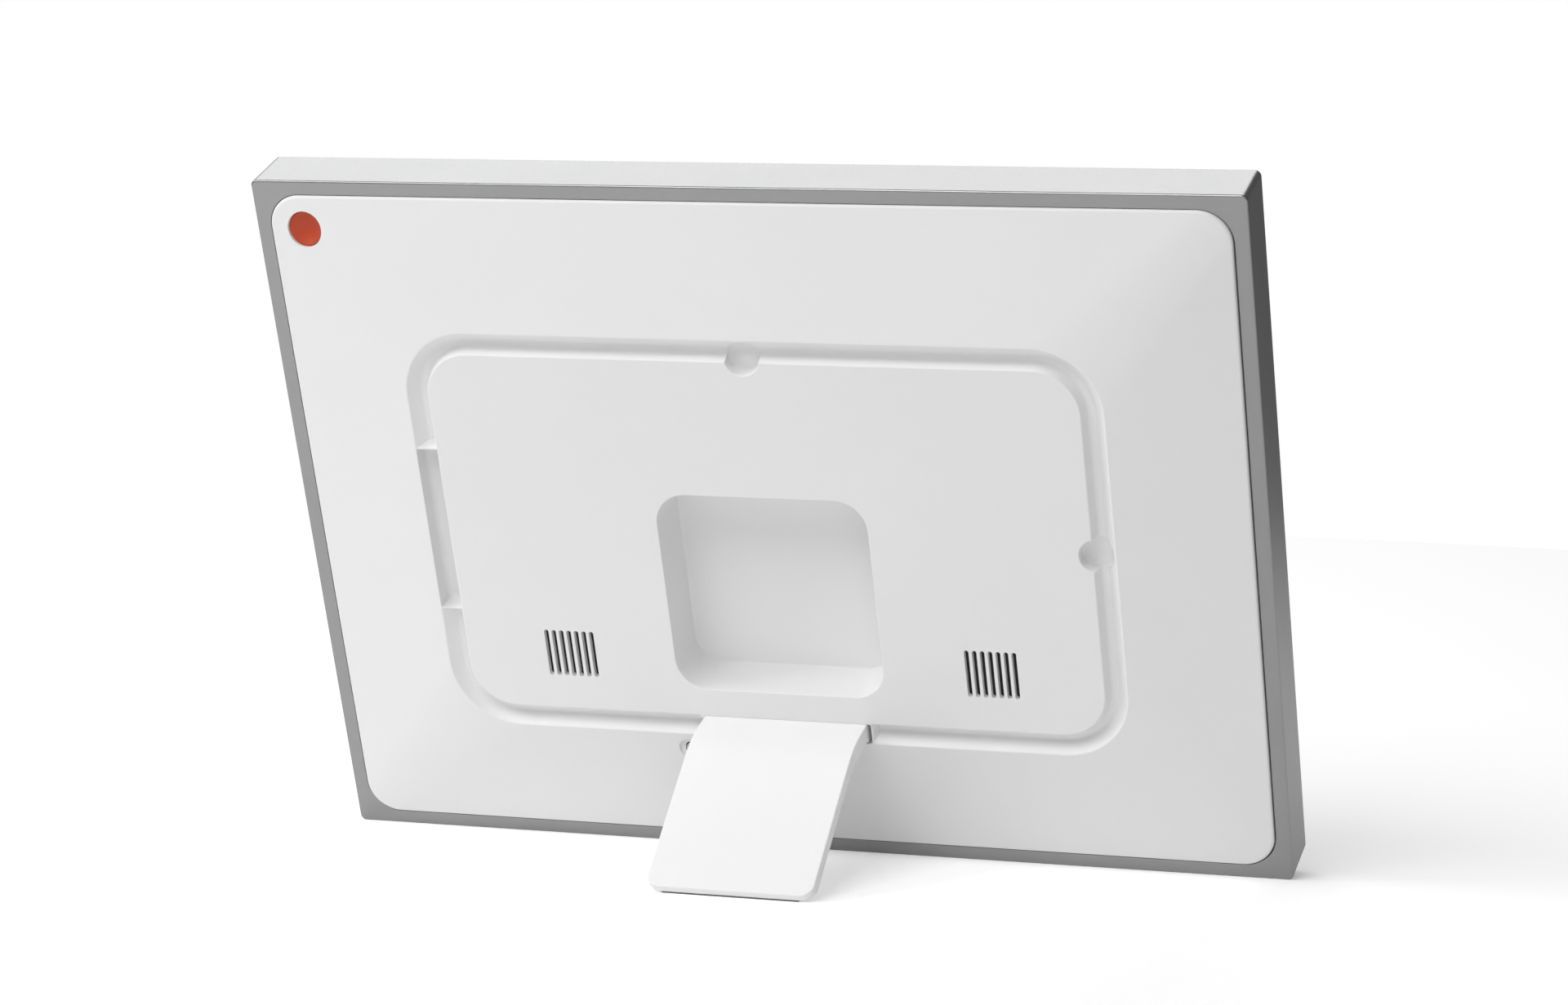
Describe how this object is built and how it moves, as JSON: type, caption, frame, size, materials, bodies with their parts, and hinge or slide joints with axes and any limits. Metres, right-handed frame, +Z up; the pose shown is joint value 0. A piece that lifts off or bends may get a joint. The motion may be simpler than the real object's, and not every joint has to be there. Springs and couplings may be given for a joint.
{
  "type": "digital photo frame",
  "caption": "Rectangular digital photo frame leaning back on a plug-in stand, with a domed white rear cover, a square recess and a round power button.",
  "frame": {"origin": "middle of the footprint box, on the surface the frame stands on", "axes": "+X along the frame's width, +Y towards the stand behind it, +Z up"},
  "size_m": [0.29, 0.0922, 0.2046],
  "materials": {
    "black_plastic": "matte",
    "button_orange": "satin",
    "circuit_green": "solder mask",
    "clear_glass": "clear",
    "grey_rubber": "matte",
    "lead_sheath": "matte",
    "light_guide": "satin white",
    "mat_card": "matte card",
    "ribbon_film": "satin film",
    "satin_silver": "satin",
    "screen_black": "glossy dark",
    "speaker_paper": "matte",
    "tinned_steel": "plain sheet",
    "vent_cloth": "fine woven mesh",
    "white_plastic": "fine matte moulding"
  },
  "bodies": {
    "frame": {"antenna_lead": "lead_sheath", "antenna_strip": "circuit_green", "backlight_lead": "lead_sheath", "backlight_unit": "light_guide", "board_screw_1": "tinned_steel", "board_screw_2": "tinned_steel", "board_screw_3": "tinned_steel", "board_screw_4": "tinned_steel", "board_standoff_1": "tinned_steel", "board_standoff_2": "tinned_steel", "board_standoff_3": "tinned_steel", "board_standoff_4": "tinned_steel", "button_board": "circuit_green", "button_lead": "lead_sheath", "button_screw_1": "tinned_steel", "button_screw_2": "tinned_steel", "button_switch": "black_plastic", "chassis_plate": "tinned_steel", "chassis_screw_1": "tinned_steel", "chassis_screw_2": "tinned_steel", "chassis_screw_3": "tinned_steel", "chassis_screw_4": "tinned_steel", "chassis_screw_5": "tinned_steel", "chassis_screw_6": "tinned_steel", "front_glass": "clear_glass", "lcd_panel": "screen_black", "lcd_ribbon": "ribbon_film", "main_board": "circuit_green", "mat_board": "mat_card", "outer_frame": "satin_silver", "plug_backlight": "black_plastic", "plug_button": "black_plastic", "plug_port": "black_plastic", "plug_speaker_left": "black_plastic", "plug_speaker_right": "black_plastic", "port_board": "circuit_green", "port_lead": "lead_sheath", "port_screw_1": "tinned_steel", "port_screw_2": "tinned_steel", "port_tongue": "black_plastic", "power_port": "tinned_steel", "rear_cover": "white_plastic", "ribbon_connector": "black_plastic", "shield_can": "tinned_steel", "speaker_cone_left": "speaker_paper", "speaker_cone_right": "speaker_paper", "speaker_lead_left": "lead_sheath", "speaker_lead_right": "lead_sheath", "speaker_left": "black_plastic", "speaker_right": "black_plastic", "vent_mesh_left": "vent_cloth", "vent_mesh_right": "vent_cloth", "wifi_module": "tinned_steel"},
    "stand": {"stand_leg": "white_plastic", "stand_foot_pad": "grey_rubber"},
    "button": {"power_button": "button_orange"}
  },
  "joints": [
    {"name": "stand_pull_out", "type": "slide", "parent": "frame", "child": "stand", "axis": [0, 0.9397, -0.342], "range_m": [0, 0.03]},
    {"name": "power_button_press", "type": "slide", "parent": "frame", "child": "button", "axis": [-0.0867, -0.9623, 0.2579], "range_m": [0, 0.0005], "stiffness_N_per_m": 2000}
  ]
}
